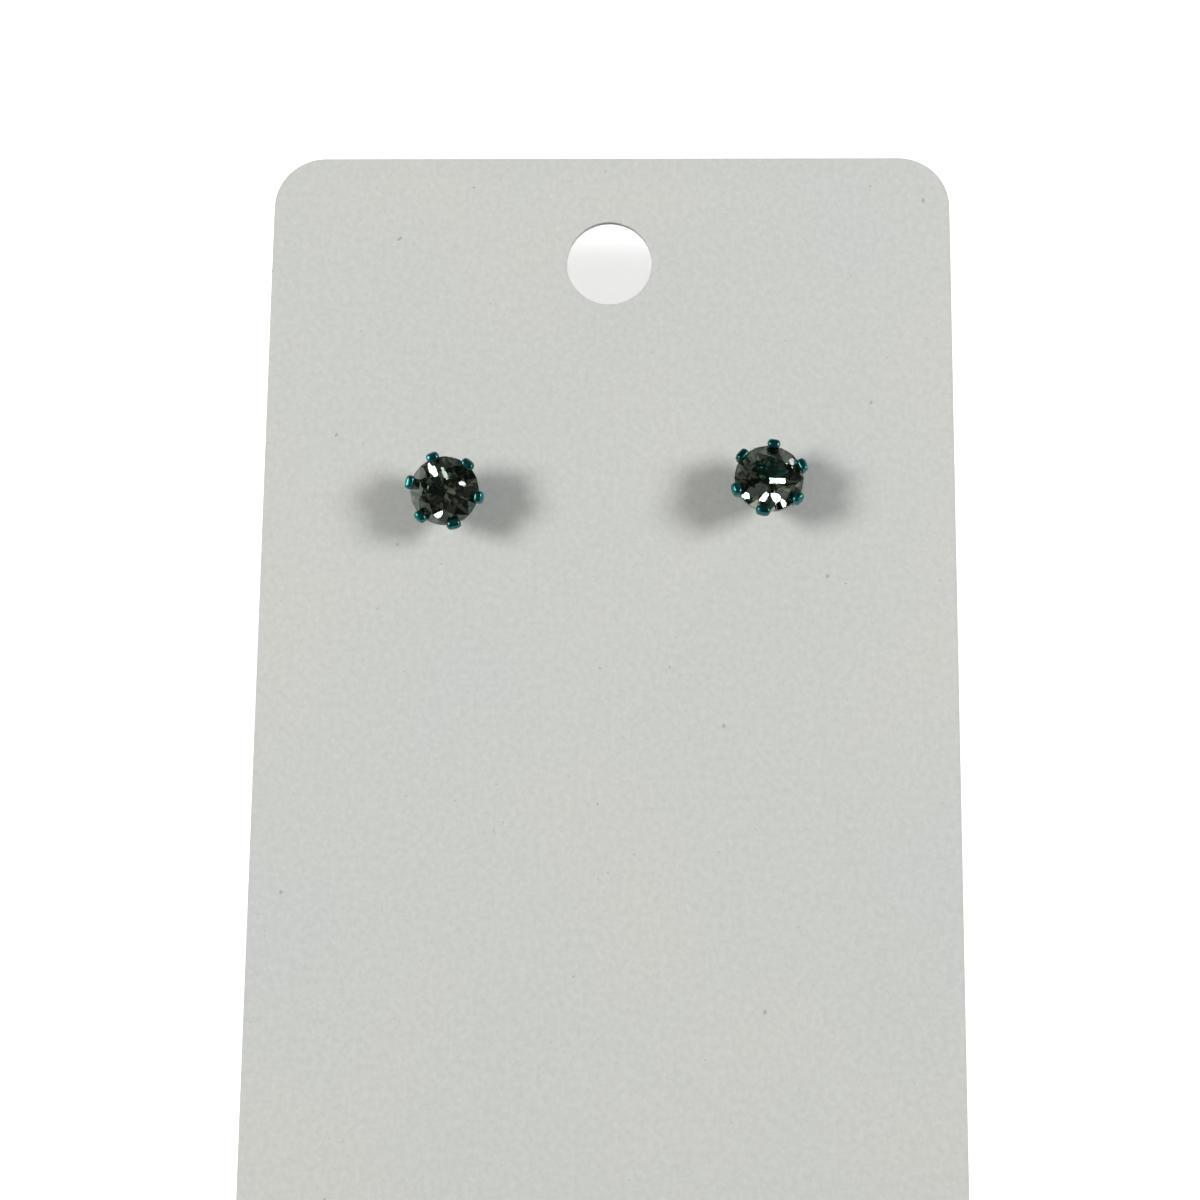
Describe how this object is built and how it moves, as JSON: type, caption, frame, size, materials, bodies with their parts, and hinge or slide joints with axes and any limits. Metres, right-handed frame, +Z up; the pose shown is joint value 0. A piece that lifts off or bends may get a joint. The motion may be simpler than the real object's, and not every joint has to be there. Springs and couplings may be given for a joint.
{
  "type": "stud earrings on display card",
  "caption": "Pair of six-prong stud earrings with round smoky stones in teal metal, pinned through a plain pale display card with rounded corners and a hang hole.",
  "frame": {"origin": "middle of the object's footprint, on the surface that it lies on", "axes": "+X to the right across the card, +Y along the card towards the hang hole, +Z up, out of the card's front"},
  "size_m": [0.0508, 0.0882, 0.0143],
  "materials": {
    "card_stock": "matt uncoated, pale grey",
    "teal_metal": "glossy teal coating over metal",
    "smoky_stone": "polished facets, smoky grey",
    "clear_silicone": "translucent silicone"
  },
  "bodies": {
    "root": {"card": "card_stock", "setting_left": "teal_metal", "setting_right": "teal_metal", "stone_left": "smoky_stone", "stone_right": "smoky_stone", "ear_nut_left": "clear_silicone", "ear_nut_right": "clear_silicone"}
  },
  "joints": []
}
